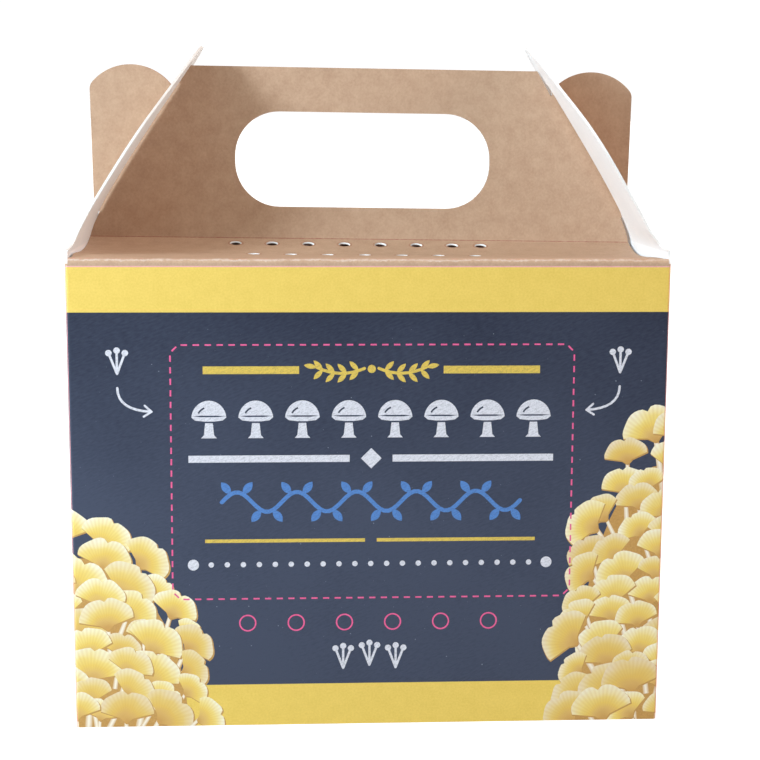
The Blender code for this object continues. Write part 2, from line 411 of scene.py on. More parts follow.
# %% Leaf and stalk inks
LEAF_SHADES = (
    (0.08, colour(204, 158, 92)),
    (0.30, colour(224, 186, 112)),
    (0.50, colour(239, 207, 106)),
    (0.68, colour(244, 221, 134)),
    (0.84, colour(248, 235, 184)),
    (0.98, colour(251, 245, 220)),
)


def make_leaf():
    """Warm at the stalk, golden in the middle and cream at the rim, with fine spreading veins."""
    material, net = new_material("leaf_ink", 0.5, 0.35)
    point = net.map_point("Sheet")
    add_fibres(net, point)
    across, along, _ = net.split(net.map_point("Motif"))
    wander = net.times(net.minus(net.noise(point, 160.0), 0.5), 0.35)
    place = net.plus(net.reach(across, along), wander)
    shades = net.add("ShaderNodeValToRGB", {0: place})[0]
    stops = shades.node.color_ramp.elements
    stops[0].position, stops[0].color = LEAF_SHADES[0]
    stops[1].position, stops[1].color = LEAF_SHADES[-1]
    for position, shade in LEAF_SHADES[1:-1]:
        stops.new(position).color = shade
    veins = net.maths("SINE", net.times(net.maths("ARCTAN2", across, along), 46.0))
    painted = net.blend(net.times(net.plus(veins, 1.0), 0.09), shades, colour(214, 170, 90))
    net.paint(net.blend(net.times(net.attribute("depth"), 0.5), painted, colour(206, 158, 88)))
    return material


def make_stalk():
    """Cream stalks, shaded towards both sides."""
    material, net = new_material("stalk_ink", 0.5, 0.35)
    add_fibres(net, net.map_point("Sheet"))
    side = net.remap(net.maths("ABSOLUTE", net.split(net.map_point("Motif"))[0]), 0.01, 0.09)
    net.paint(net.blend(side, colour(248, 238, 220), colour(214, 180, 132)))
    return material


INKS = {
    "kraft": kraft,
    "slate": make_slate(),
    "yellow": make_flat_ink("yellow_ink", (228, 196, 93), (241, 209, 108)),
    "pink": make_flat_ink("pink_ink", (222, 84, 138), (240, 108, 158)),
    "chalk_white": make_chalk("white_chalk", 222, 222, 232),
    "chalk_blue": make_chalk("blue_chalk", 88, 134, 200),
    "chalk_yellow": make_chalk("yellow_chalk", 224, 194, 92),
    "leaf": make_leaf(),
    "leaf_shade": make_flat_ink("leaf_shade_ink", (186, 140, 76), (206, 162, 96)),
    "stalk": make_stalk(),
    "pale_pink": make_flat_ink("pale_pink_ink", (226, 158, 164), (238, 182, 186)),
}
INK_NAMES = list(INKS)
print(len(INKS), "inks")

# %% [markdown]
# ## The artwork, drawn as flat shapes
# A print has no thickness, so it must not be a second skin glued on the board. Instead the wall's own
# face is divided along the outlines of the artwork. Every shape is a polygon in millimetres on the flat
# sheet, listed in painting order, and where shapes overlap the later one wins.
# A shape is a mark with an ink, an outline, and the placement that the Motif map needs.

# %% Marks
class Mark:
    """One printed shape: an outline in its own frame, then moved, turned and scaled on the sheet."""

    def __init__(self, ink, outline, at=(0.0, 0.0), turn=0.0, size=1.0, depth=0.0):
        self.ink = ink
        self.depth = depth
        self.at = Vector(at)
        self.turn = math.radians(turn)
        self.size = size
        spin = Matrix.Rotation(self.turn, 2)
        self.points = [spin @ (Vector(point) * size) + self.at for point in outline]

    def shifted(self, across):
        """The same mark further along the sheet."""
        copy = Mark(self.ink, [(0.0, 0.0)], self.at + Vector((across, 0.0)), 0.0, self.size, self.depth)
        copy.turn = self.turn
        copy.points = [point + Vector((across, 0.0)) for point in self.points]
        return copy

    def motif(self, point):
        """A place on the sheet, seen in the mark's own frame."""
        return Matrix.Rotation(-self.turn, 2) @ (Vector(point) - self.at) / self.size


def round_points(radius, start, end, steps, centre=(0.0, 0.0)):
    """Points on a circle between two angles in degrees."""
    angles = [math.radians(start + (end - start) * i / steps) for i in range(steps + 1)]
    return [(centre[0] + radius * math.cos(a), centre[1] + radius * math.sin(a)) for a in angles]


def disc(ink, radius, sides, centre):
    """A round mark with this many sides."""
    return Mark(ink, round_points(radius, 0, 360 - 360 / sides, sides - 1), centre)


def bar(left, bottom, right, top):
    """Corners of a rectangle."""
    return [(left, bottom), (right, bottom), (right, top), (left, top)]


def slim(ink, start, end, width):
    """A straight line from one point to another."""
    a, b = Vector(start), Vector(end)
    side = Vector((a.y - b.y, b.x - a.x)).normalized() * width / 2
    return Mark(ink, [a - side, b - side, b + side, a + side])


def stroke(ink, path, width):
    """A drawn line: one slim quad for each step and a round dot at each turn."""
    marks = [slim(ink, start, end, width) for start, end in zip(path, path[1:])]
    return marks + [disc(ink, width / 2, 8, point) for point in path]


# %% [markdown]
# ### Cutting marks
# Pink dashes show where the window is torn out, and six rings mark holes to punch. The dashes repeat, so
# they are laid out by a loop that walks round the window's outline. A ring is a pink disc with a disc of
# the ground's ink in it.

# %% Window dashes and rings
WINDOW = (-66.7, 44.5, 68.5, 131.4)
WINDOW_CHAMFER = 2.6
DASH, DASH_GAP, DASH_WIDTH = 2.1, 1.8, 0.55
RING_FIRST, RING_PITCH, RING_HEIGHT, RING_COUNT = -41.5, 16.46, 36.0, 6
RING_RADIUS, RING_WIDTH = 2.95, 0.5


def window_marks():
    """Dashes along the four sides and the four cut corners."""
    left, bottom, right, top = WINDOW
    cut = WINDOW_CHAMFER
    corners = [
        (left + cut, top), (right - cut, top), (right, top - cut), (right, bottom + cut),
        (right - cut, bottom), (left + cut, bottom), (left, bottom + cut), (left, top - cut),
    ]
    marks = []
    for start, end in zip(corners, corners[1:] + corners[:1]):
        run = Vector(end) - Vector(start)
        count = max(1, round(run.length / (DASH + DASH_GAP)))
        step = run / count
        half = run.normalized() * min(DASH, step.length * 0.62) / 2
        middles = [Vector(start) + step * (i + 0.5) for i in range(count)]
        marks += [slim("pink", middle - half, middle + half, DASH_WIDTH) for middle in middles]
    return marks


def ring_marks():
    """Six thin rings under the window."""
    marks = []
    for i in range(RING_COUNT):
        for ink, radius in (("pink", RING_RADIUS), ("slate", RING_RADIUS - RING_WIDTH)):
            marks.append(disc(ink, radius, 36, (RING_FIRST + RING_PITCH * i, RING_HEIGHT)))
    return marks


# %% [markdown]
# ### Chalk ornaments
# The middle of the front has a plain chalk design: a row of little mushrooms, rules, a waving garland,
# a dotted line, and small sprigs with arrows. All of it is built from bars, arcs and strokes.

# %% Chalk shapes
def rules(ink, bottom, top, *spans):
    """Straight bars between two heights."""
    return [Mark(ink, bar(left, bottom, right, top)) for left, right in spans]


def mushroom(at, size):
    """A round cap with a bare line for its rim and one for its shine, on a flared stem."""
    cap = [(1.02 * x, 1.08 * y) for x, y in round_points(1.0, 4, 176, 18)]
    cap += [(-0.80, -0.10), (-0.3, -0.16), (0.3, -0.16), (0.80, -0.10)]
    stem = [(-0.22, -0.26), (-0.30, -0.98), (-0.46, -1.16), (0.46, -1.16), (0.30, -0.98), (0.22, -0.26)]
    rim = [(0.98, 0.16), (0.5, 0.10), (-0.5, 0.10), (-0.98, 0.16), (-0.5, 0.19), (0.5, 0.19)]
    shine = round_points(0.74, 112, 152, 6) + round_points(0.64, 152, 112, 6)
    inks = ("chalk_white", "chalk_white", "slate", "slate")
    return [Mark(ink, shape, at, 0.0, size) for ink, shape in zip(inks, (cap, stem, rim, shine))]


def leaf_outline(length, width):
    """A small pointed leaf with its foot at the origin, lying along +Y."""
    half = [(width / 2 * math.sin(math.pi * t) ** 0.8, length * t) for t in [i / 7 for i in range(1, 7)]]
    return [(0.0, 0.0)] + half + [(0.0, length)] + [(-x, y) for x, y in reversed(half)]


def vine(ink, start, waves, length, height, width):
    """A waving stem with leaves that leave it on the outer side of each bend."""
    def on_wave(share):
        return start[0] + length * share, start[1] + height * math.sin(2 * math.pi * waves * share)

    marks = stroke(ink, [on_wave(i / (waves * 14)) for i in range(waves * 14 + 1)], width)
    leaf = leaf_outline(5.2, 2.7)
    for i in range(2 * waves):
        for place, lean in ((0.30, -38), (0.70, 38)):
            turn = -lean if i % 2 == 0 else 180 + lean
            marks.append(Mark(ink, leaf, on_wave((i + place) / (2 * waves)), turn))
    return marks


def curve_path(start, bend, end, steps=8):
    """A smooth bent path through three guide points."""
    a, b, c = Vector(start), Vector(bend), Vector(end)
    shares = [i / steps for i in range(steps + 1)]
    return [tuple(a * (1 - t) ** 2 + b * 2 * t * (1 - t) + c * t * t) for t in shares]


def sprig(ink, start, side, length, width):
    """Half a wreath: a short bent stem with pairs of leaves and one at its tip."""
    x, y = start
    path = curve_path(start, (x + side * length * 0.5, y - length * 0.22), (x + side * length, y + 0.4))
    leaf = leaf_outline(4.4, 1.7)
    pairs = [Mark(ink, leaf, path[i], -side * 90 + lean) for i in (1, 3, 5, 7) for lean in (-46, 46)]
    return stroke(ink, path, width) + pairs + [Mark(ink, leaf, path[-1], -side * 80)]


def arrow(ink, path, width, head):
    """A curved stroke with a two-line head at its end."""
    marks = stroke(ink, path, width)
    tip, before = Vector(path[-1]), Vector(path[-2])
    back = (before - tip).normalized() * head
    for lean in (-38, 38):
        wing = Matrix.Rotation(math.radians(lean), 2) @ back
        marks += stroke(ink, [tuple(tip), tuple(tip + wing)], width * 0.9)
    return marks


# %% Middle of the front
ROW_HEIGHT, ROW_PITCH, ROW_SIZE = 106.5, 15.6, 5.7
CHALK_MIDDLE, DOT_HEIGHT, DOT_PITCH = 0.3, 56.4, 5.4


def chalk_marks():
    """All the chalk inside the window, from the top down."""
    marks = rules("chalk_yellow", 121.6, 124.2, (-56.0, -24.0), (24.5, 57.0))
    for side in (-1, 1):
        marks += sprig("chalk_yellow", (CHALK_MIDDLE + side * 2.4, 123.4), side, 16.0, 1.0)
    marks.append(disc("chalk_yellow", 1.4, 12, (CHALK_MIDDLE, 123.2)))
    for i in range(8):
        marks += mushroom((ROW_PITCH * (i - 3.5) + 0.5, ROW_HEIGHT), ROW_SIZE)
    marks += rules("chalk_white", 91.6, 94.0, (-61.0, -7.0), (7.5, 62.0))
    diamond = [(CHALK_MIDDLE, 89.3), (3.8, 92.8), (CHALK_MIDDLE, 96.3), (-3.2, 92.8)]
    marks.append(Mark("chalk_white", diamond))
    marks += vine("chalk_blue", (-50.0, 78.0), 5, 101.0, 3.4, 1.4)
    for side in (-1, 1):
        middle = CHALK_MIDDLE + side * 29.0
        marks += rules("chalk_yellow", 64.0, 65.2, (middle - 27.0, middle + 27.0))
        marks.append(disc("chalk_white", 1.9, 18, (CHALK_MIDDLE + side * 60.0, DOT_HEIGHT)))
    dots = [DOT_PITCH * (i - 10) + CHALK_MIDDLE for i in range(21)]
    return marks + [disc("chalk_white", 0.95, 10, (across, DOT_HEIGHT)) for across in dots]


def note_marks():
    """A chalk sprig with an arrow to the window on each side, and three sprigs under the rings."""
    marks = []
    for side in (-1, 1):
        path = curve_path((side * 84.0, 117.0), (side * 84.0, 109.5), (side * 73.0, 109.0))
        marks += arrow("chalk_white", path, 0.8, 3.0)
    for across, up in ((-84.0, 125.0), (84.0, 125.0), (-9.0, 23.0), (0.0, 24.0), (9.0, 23.0)):
        for lean in (-35, 0, 35):
            tip = Vector((across, up)) + Matrix.Rotation(math.radians(-lean), 2) @ Vector((0.0, 4.6))
            marks += stroke("chalk_white", [(across, up - 3.2), tuple(tip)], 0.8)
            marks.append(disc("chalk_white", 1.1, 10, tip))
    return marks


# %% [markdown]
# ### Clumps of fan leaves
# A fan leaf is a slice of a circle with a waved rim and a small notch. The clump is laid out like roof
# tiles: rows from the top down, each leaf a bit off its place, with its stalk pointing back to the
# corner. A seeded random generator keeps the layout the same each time.

# %% Fan leaves
FAN_HALF_ANGLE = 68
ROW_STEP, LEAF_STEP = 8.0, 10.6
ARCH = [math.pi * i / 24 for i in range(25)]


def fan_outline(phase):
    """A fan leaf with its stalk at the origin and its rim one unit up."""
    points = [(-0.035, 0.0), (0.035, 0.0), (0.20, 0.15)]
    for i in range(21):
        angle = math.radians(FAN_HALF_ANGLE * (1 - i / 10))
        reach = 1.0 + 0.018 * math.sin(9 * angle + phase) - 0.12 * math.exp(-((angle / 0.09) ** 2))
        reach *= 1.0 - 0.13 * (abs(angle) / math.radians(FAN_HALF_ANGLE)) ** 4
        points.append((reach * math.sin(angle), reach * math.cos(angle)))
    return points + [(-0.20, 0.15)]


def clump_marks(root, reach_in, reach_out, height, seed):
    """Fan leaves that fill a mound round a point on the corner line."""
    rng = random.Random(seed)
    stalk = [(-0.10, -1.3), (0.10, -1.3), (0.05, 0.2), (-0.05, 0.2)]
    rows = max(2, round(height / ROW_STEP))
    mound = []
    for a in ARCH:
        mound_reach = reach_in if math.cos(a) > 0 else reach_out
        mound.append((root + mound_reach * 0.86 * math.cos(a), height * 0.9 * math.sin(a)))
    marks = [Mark("leaf_shade", mound)]
    for row in range(rows, -1, -1):
        up = height * (row + 0.15) / (rows + 0.6)
        width = math.sqrt(max(0.0, 1 - (up / height) ** 2))
        left, right = root - reach_out * width, root + reach_in * width
        count = max(1, round((right - left) / LEAF_STEP))
        places = [left + (right - left) * (i + 0.5) / count for i in range(count)]
        rng.shuffle(places)
        for across in places:
            across += rng.uniform(-2.4, 2.4)
            rise = up + rng.uniform(-2.6, 2.6)
            size = rng.uniform(8.0, 12.8)
            away = (across - root) / (reach_in if across > root else reach_out)
            turn = -62 * away + rng.uniform(-24, 24)
            fan = fan_outline(rng.uniform(0, 6))
            deep = rng.uniform(0.0, 0.9) ** 2
            marks += [
                Mark("leaf_shade", stalk, (across + 0.3, rise - 0.2), turn * 0.6, size * 1.05),
                Mark("stalk", stalk, (across, rise), turn * 0.6, size * 1.05),
                Mark("leaf_shade", fan, (across + 0.3, rise - 0.5), turn, size * 1.02),
                Mark("leaf", fan, (across, rise), turn, size, deep),
            ]
    return marks


# %% [markdown]
# ## The flat sheets
# The four walls are printed side by side. Going round the carton, a wall's sheet runs from the middle of
# one corner fold to the middle of the next, so its flat length is a little less than the outside size.
# The front and the back carry the same print. Marks near a corner spill over on to the side wall.

# %% Sheet lengths in millimetres
CORNER_RADIUS = 1.2
CORNER_HALF_ARC = CORNER_RADIUS * math.pi / 4
FRONT_HALF = 1000 * HALF_WIDTH - CORNER_RADIUS + CORNER_HALF_ARC
SIDE_HALF = 1000 * HALF_DEPTH - CORNER_RADIUS + CORNER_HALF_ARC
PRINT_TOP = 1000 * FOLD - 2.6
BAND_FOOT = 1000 * FOLD - 17.7
LOWER_BAND = 14.4
WALL_SHEET_TOP = 1000 * FOLD - 1.5
HAIRLINE, TOP_LINE = 0.14, 0.32


def wall_artwork():
    """Marks of one printed face with its middle at 0, in painting order."""
    marks = chalk_marks() + note_marks()
    marks += clump_marks(-FRONT_HALF, 44.0, 36.0, 66.0, 11)
    marks += clump_marks(FRONT_HALF, 40.0, 34.0, 100.0, 5)
    marks += window_marks() + ring_marks()
    for edge in (-FRONT_HALF, FRONT_HALF):
        marks.append(Mark("pale_pink", bar(edge - HAIRLINE, 0.0, edge + HAIRLINE, PRINT_TOP)))
    return marks


def ground_marks(half):
    """Kraft at the top, then the two yellow bands with slate between them."""
    return [
        Mark("kraft", bar(-half, PRINT_TOP, half, WALL_SHEET_TOP)),
        Mark("yellow", bar(-half, BAND_FOOT, half, PRINT_TOP)),
        Mark("pale_pink", bar(-half, PRINT_TOP - 0.05, half, PRINT_TOP + TOP_LINE)),
        Mark("slate", bar(-half, LOWER_BAND, half, BAND_FOOT)),
        Mark("yellow", bar(-half, 0.0, half, LOWER_BAND)),
    ]


front_artwork = wall_artwork()
print("the front has", len(front_artwork), "marks")

# %% [markdown]
# ## Dividing a sheet
# Blender's constrained triangulation takes many overlapping outlines and gives back one flat mesh whose
# edges follow all of them, and it says which outlines each face lies in. On a printed sheet the last of
# them is the top ink. On a cut sheet every face that lies in a hole is left out.
# Cutting with a knife tool could do the same by hand, but not for hundreds of outlines, and a filled
# curve leaves thin slivers where holes stand in a row.

# %% Divide, print and cut a sheet
JOIN_WITHIN = 0.003


def anticlockwise(outline):
    """The outline's points as vectors, turned round if they run clockwise."""
    points = [Vector(point) for point in outline]
    area = sum(a.x * b.y - b.x * a.y for a, b in zip(points, points[1:] + points[:1]))
    return points if area > 0.0 else points[::-1]


def divided(outlines):
    """Divide the first outline along all the others: its points, faces and the outlines round each."""
    points, faces = [], []
    for outline in outlines:
        faces.append(list(range(len(points), len(points) + len(outline))))
        points += anticlockwise(outline)
    places, _, cells, _, _, origins = delaunay_2d_cdt(points, [], faces, 0, JOIN_WITHIN, True)
    return places, [(cell, origin) for cell, origin in zip(cells, origins) if 0 in origin]


def flat_mesh(name, places, cells):
    """A mesh in the XY plane, in metres."""
    mesh = bpy.data.meshes.new(name)
    mesh.from_pydata([(x * MILLIMETRE, y * MILLIMETRE, 0.0) for x, y in places], [], cells)
    return mesh


def flat_sheet(mesh):
    """The mesh as an object, without loose points, facing up."""
    sheet = bpy.data.objects.new(mesh.name, mesh)
    bpy.context.scene.collection.objects.link(sheet)
    take(sheet, "EDIT")
    bpy.ops.mesh.select_all(action="SELECT")
    bpy.ops.mesh.delete_loose()
    bpy.ops.object.mode_set(mode="OBJECT")
    if sum(polygon.normal.z for polygon in mesh.polygons) < 0:
        mesh.flip_normals()
    return sheet


def print_sheet(name, outline, marks):
    """A sheet with one material slot for each ink."""
    places, kept = divided([outline] + [mark.points for mark in marks])
    mesh = flat_mesh(name, places, [cell for cell, _ in kept])
    motif = mesh.uv_layers.new(name="Motif")
    flat = mesh.uv_layers.new(name="Sheet")
    depth = mesh.attributes.new("depth", "FLOAT", "FACE")
    for polygon, (_, origin) in zip(mesh.polygons, kept):
        top = max(origin)
        mark = marks[top - 1] if top else None
        polygon.material_index = INK_NAMES.index(mark.ink) if mark else 0
        depth.data[polygon.index].value = mark.depth if mark else 0.0
        for corner in polygon.loop_indices:
            spot = places[mesh.loops[corner].vertex_index]
            motif.data[corner].uv = mark.motif(spot) if mark else (0.0, 0.0)
            flat.data[corner].uv = (spot[0] * MILLIMETRE, spot[1] * MILLIMETRE)
    for ink in INKS.values():
        mesh.materials.append(ink)
    return flat_sheet(mesh)


def cut_sheet(name, outline, holes, material):
    """A sheet of one material with its holes."""
    places, kept = divided([outline, *holes])
    mesh = flat_mesh(name, places, [cell for cell, origin in kept if list(origin) == [0]])
    mesh.materials.append(material)
    return flat_sheet(mesh)


def divide_along(sheet, places, across):
    """Cut lines into a flat sheet at distances from its middle, in the direction across."""
    take(sheet, "EDIT")
    for place in places:
        bpy.ops.mesh.select_all(action="SELECT")
        bpy.ops.mesh.bisect(plane_co=across * place, plane_no=across)


# %% [markdown]
# ## Folding
# A fold is a cut line across the sheet and a turn of everything beyond it. A round fold is several small
# turns. To fold a sheet along a bent profile, the profile's steps give both numbers: how far along the
# line lies, and how much the direction changes there. The lines are marked first while the sheet is
# still flat, and then folded from the far end back, so that each line is still in its flat place.

# %% Fold a flat sheet
SIDEWAYS, UPWARDS = Vector((1.0, 0.0, 0.0)), Vector((0.0, 1.0, 0.0))
WELD_WITHIN = 0.00002


def profile_folds(profile):
    """Fold lines in metres for a profile of (forward, up) points that starts straight up, and its length."""
    lines, travelled, heading = [], 0.0, 90.0
    for (x0, y0), (x1, y1) in zip(profile, profile[1:]):
        next_heading = math.degrees(math.atan2(y1 - y0, x1 - x0))
        lines.append((travelled * MILLIMETRE, heading - next_heading))
        travelled += math.hypot(x1 - x0, y1 - y0)
        heading = next_heading
    return lines, travelled


def fold_sheet(sheet, lines, across=UPWARDS):
    """Turn all that lies beyond each line away from the printed face, by its angle in degrees."""
    divide_along(sheet, [position for position, _ in lines], across)
    if across == UPWARDS:
        bpy.ops.mesh.select_all(action="SELECT")
        bpy.ops.mesh.remove_doubles(threshold=WELD_WITHIN)
    bpy.ops.object.mode_set(mode="OBJECT")
    flat = [vertex.co.dot(across) for vertex in sheet.data.vertices]
    bpy.ops.object.mode_set(mode="EDIT")
    for position, angle in sorted(lines, key=lambda line: -abs(line[0])):
        if abs(angle) < 1e-6:
            continue
        side = -1 if position < 0.0 else 1
        pick_points(sheet, {i for i, place in enumerate(flat) if side * (place - position) > 1e-7})
        turn = math.radians(angle) * (-1 if across == SIDEWAYS and position > 0.0 else 1)
        axis = "Y" if across == SIDEWAYS else "X"
        bpy.ops.transform.rotate(value=turn, orient_axis=axis, center_override=across * position)
    bpy.ops.object.mode_set(mode="OBJECT")


def stand_up(sheet, place, turn=0.0):
    """Stand a flat sheet upright, face to the front, turn it about Z and put it at its place."""
    upright = Matrix.Rotation(math.radians(90), 4, "X")
    sheet.matrix_world = Matrix.Translation(place) @ Matrix.Rotation(math.radians(turn), 4, "Z") @ upright
    take(sheet)
    bpy.ops.object.transform_apply(location=True, rotation=True, scale=True)


def add_board(sheet, smooth_angle=30, even=True, inside=lining):
    """Give the sheet its thickness behind the printed face, with white edges and a lining."""
    first = len(sheet.data.materials)
    sheet.data.materials.append(cut_edge)
    sheet.data.materials.append(inside)
    take(sheet)
    thickness = sheet.modifiers.new("board", "SOLIDIFY")
    thickness.thickness = BOARD
    thickness.offset = -1.0
    thickness.use_even_offset = even
    thickness.material_offset_rim = first
    thickness.material_offset = first + 1
    bpy.ops.object.modifier_apply(modifier="board")
    bpy.ops.object.shade_smooth_by_angle(angle=math.radians(smooth_angle))


def hand_over(board, body, slot, *nodes):
    """Say which body the board rides on and which nodes it replaces; the slot argument is not used."""
    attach(board, body)
    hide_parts(*nodes)
    size = [round(1000 * (high - low), 1) for low, high in zip(board.bound_box[0], board.bound_box[6])]
    print(board.name, len(board.data.polygons), "faces,", size, "mm")


# %% [markdown]
# ## Not quite square
# A folded carton never stands as true as its drawing. This one spreads a little at its top corners, its
# handle hangs about half a degree lower on the right, the left flap leans in a bit further and the right
# one is pulled round.
# One displacement field for all boards keeps neighbours together: each finished board is moved by it.

# %% Misfits of the folded carton
CORNER_SPREAD, SPREAD_HEIGHT = {-1: 0.0012, 1: 0.0009}, 0.024
SIDE_BOW, BOW_HEIGHT = {-1: 0.0008, 1: 0.0}, 0.014
HANDLE_TILT, HANDLE_SHIFT = 0.0103, 0.0003
FLAP_TWIST, TWIST_HEIGHT = {-1: 0.0, 1: 0.036}, 0.008
FLAP_SLANT, SLANT_START = {-1: 0.035, 1: 0.0}, 0.015
TIP_CURL, CURL_START = {-1: 0.0, 1: 0.07}, 0.045


def ease(value):
    """0 below 0, 1 above 1, and a soft step between."""
    share = min(max(value, 0.0), 1.0)
    return share * share * (3.0 - 2.0 * share)


def settle(board, handle=False, flap=0):
    """Move the board's points by the misfits that reach it; flap is -1 or 1 for the side flaps."""
    for vertex in board.data.vertices:
        x, y, z = vertex.co
        up = z - CREASE
        end = -1 if x < 0.0 else 1
        out = (y / HALF_DEPTH) ** 2
        spread_out = CORNER_SPREAD[end] * out * min(z / FOLD, 1.0) * (1.0 - ease(up / SPREAD_HEIGHT))
        bow_in = SIDE_BOW[end] * (1.0 - out) * min(z / FOLD, 1.0) ** 2 * (1.0 - ease(up / BOW_HEIGHT))
        vertex.co.x += end * (spread_out - (0.0 if handle else bow_in)) * (abs(x) / HALF_WIDTH) ** 4
        if handle:
            vertex.co.x += HANDLE_SHIFT * ease((z - FOLD - 0.002) / 0.012)
            vertex.co.z -= HANDLE_TILT * x * ease((HALF_DEPTH - abs(y)) / HALF_DEPTH)
        if flap:
            twist = ease(up / TWIST_HEIGHT) * FLAP_TWIST[flap] * y
            curl = TIP_CURL[flap] * ease((up - CURL_START) / 0.02) * max(y, 0.0)
            vertex.co.x += twist + curl + FLAP_SLANT[flap] * max(up - SLANT_START, 0.0)


# %% [markdown]
# ## The four walls
# A wall's sheet bends by 45 degrees at each end, so that two neighbours meet in the middle of the corner
# fold. A fold line close beside the bend keeps the shading of the flat face flat, and a few lines that
# don't turn let the face bow.

# %% Make the walls
CORNER_STEPS = 3


def corner_lines(half):
    """Fold lines of both ends of a wall, in metres from its middle."""
    flat_end = half - CORNER_HALF_ARC
    step = CORNER_HALF_ARC / CORNER_STEPS
    ends = [(flat_end * share, 0.0) for share in (0.2, 0.4, 0.6, 0.8)]
    ends += [(flat_end - 0.9, 0.0), (flat_end - 0.02, 0.0)]
    ends += [(flat_end + step * (i + 0.5), 45 / CORNER_STEPS) for i in range(CORNER_STEPS)]
    return [(side * place * MILLIMETRE, angle) for side in (-1, 1) for place, angle in ends]


def add_bake_map(wall, half, top):
    """A UV layout for baking: the print large and flat, and the lining and edges small beside it."""
    flat = wall.data.uv_layers["Sheet"]
    layout = wall.data.uv_layers.new(name="OFBake")
    width, height = 2 * half * MILLIMETRE, top * MILLIMETRE
    scale = 0.97 / max(width, height)
    for polygon in wall.data.polygons:
        for corner in polygon.loop_indices:
            x, y = flat.data[corner].uv
            u, v = (x + width / 2) * scale, y * scale
            if polygon.material_index >= len(INK_NAMES):
                if width > height:
                    v = height * scale + 0.02 + v * 0.15
                else:
                    u = width * scale + 0.02 + u * 0.2
            layout.data[corner].uv = (0.005 + u, 0.005 + v)


def near(marks, shift, half):
    """Marks moved along the sheet, without those that miss it."""
    kept = []
    for mark in [mark.shifted(shift) for mark in marks]:
        across = [point.x for point in mark.points]
        if min(across) < half and max(across) > -half:
            kept.append(mark)
    return kept


SIDE_SHOULDER = 1000 * HALF_DEPTH - 1.2
SIDE_SHEET_TOP = 1000 * SIDE_TOP - 1.2

front_outline = bar(-FRONT_HALF, 0.0, FRONT_HALF, WALL_SHEET_TOP)
front_marks = near(front_artwork, 0.0, FRONT_HALF)
side_outline = [
    (-SIDE_HALF, 0.0), (SIDE_HALF, 0.0), (SIDE_HALF, WALL_SHEET_TOP), (SIDE_SHOULDER, WALL_SHEET_TOP),
    (SIDE_SHOULDER, SIDE_SHEET_TOP), (-SIDE_SHOULDER, SIDE_SHEET_TOP), (-SIDE_SHOULDER, WALL_SHEET_TOP),
    (-SIDE_HALF, WALL_SHEET_TOP),
]
side_marks = [Mark("kraft", bar(-SIDE_SHOULDER, WALL_SHEET_TOP, SIDE_SHOULDER, SIDE_SHEET_TOP))]
for shift in (-1, 1):
    side_marks += near(front_artwork, shift * (FRONT_HALF + SIDE_HALF), SIDE_HALF)

for name, node, place, turn in (
    ("printed_front", "front_wall", (0.0, -HALF_DEPTH, 0.0), 0),
    ("printed_back", "back_wall", (0.0, HALF_DEPTH, 0.0), 180),
    ("printed_left_side", "left_wall", (-HALF_WIDTH, 0.0, 0.0), -90),
    ("printed_right_side", "right_wall", (HALF_WIDTH, 0.0, 0.0), 90),
):
    a_side = "side" in name
    half, outline = (SIDE_HALF, side_outline) if a_side else (FRONT_HALF, front_outline)
    wall = print_sheet(name, outline, ground_marks(half) + (side_marks if a_side else front_marks))
    fold_sheet(wall, corner_lines(half), SIDEWAYS)
    stand_up(wall, place, turn)
    # Painted shade: the front and back walls take the dark brown board inside, standing in for the shade in
    # the closed carton.
    add_board(wall, even=False, inside=lining if a_side else painted_shade_board)
    add_bake_map(wall, half, max(y for _, y in outline))
    settle(wall)
    hand_over(wall, "carton", "printed_board", node)

# %% [markdown]
# ## Roof and handle in one sheet
# Above the print the same board rolls over the front fold, sags a little as a roof, and turns up into the
# handle. It is drawn flat as an outline with holes, like the real cutting die, and then folded.
# The roof's curve is the same formula as in the solids: it is lowest some way before the handle.
# Near the side walls the board is held up a little, which is added after the folding.

# %% Roof and handle profile
ROOF_RISE, ROOF_SAG, ROOF_LOWEST = 2.3, 1.7, 22.5
ROOF_RUN = 1000 * HALF_DEPTH - 0.6
ROOF_FRONT_PART = ROOF_RUN - ROOF_LOWEST
FOLD_RADIUS, FOLD_STEPS = 1.5, 7
FOOT_START = 61.0
FOOT_BEND = ((61.32, 0.20), (61.50, 0.55))
FACE_DEPTH = 1000 * (HALF_DEPTH + handle_low.y)
HANDLE_HEIGHT = 1000 * (handle_high.z - FOLD)


def roof_sag_share(depth):
    """0 at the fold and at the handle's foot, and 1 where the roof is lowest."""
    if depth <= ROOF_FRONT_PART:
        return (1.0 - math.cos(math.pi * depth / ROOF_FRONT_PART)) / 2
    return 1.0 - ((depth - ROOF_FRONT_PART) / ROOF_LOWEST) ** 2


def roof_height(depth):
    """Height over the fold at a depth behind it."""
    share = roof_sag_share(depth)
    if depth <= ROOF_FRONT_PART:
        return -ROOF_SAG * share
    return (ROOF_RISE + ROOF_SAG) * (1.0 - share) - ROOF_SAG


def roof_profile():
    """Depth behind the front and height over the fold, from the wall to the handle's top."""
    reach = FOLD_RADIUS / math.cos(math.radians(45 / FOLD_STEPS))
    half_step = 45 / FOLD_STEPS
    bend = round_points(reach, 180 - half_step, 90 + half_step, FOLD_STEPS - 1, (FOLD_RADIUS, -FOLD_RADIUS))
    depths = [FOLD_RADIUS + (FOOT_START - FOLD_RADIUS) * (i / 18) ** 0.7 for i in range(19)]
    foot = roof_height(FOOT_START)
    profile = [(0.0, -FOLD_RADIUS)] + bend + [(depth, roof_height(depth)) for depth in depths]
    profile += [(depth, foot + rise) for depth, rise in FOOT_BEND]
    return profile + [(FACE_DEPTH, foot + 0.9), (FACE_DEPTH, HANDLE_HEIGHT)]


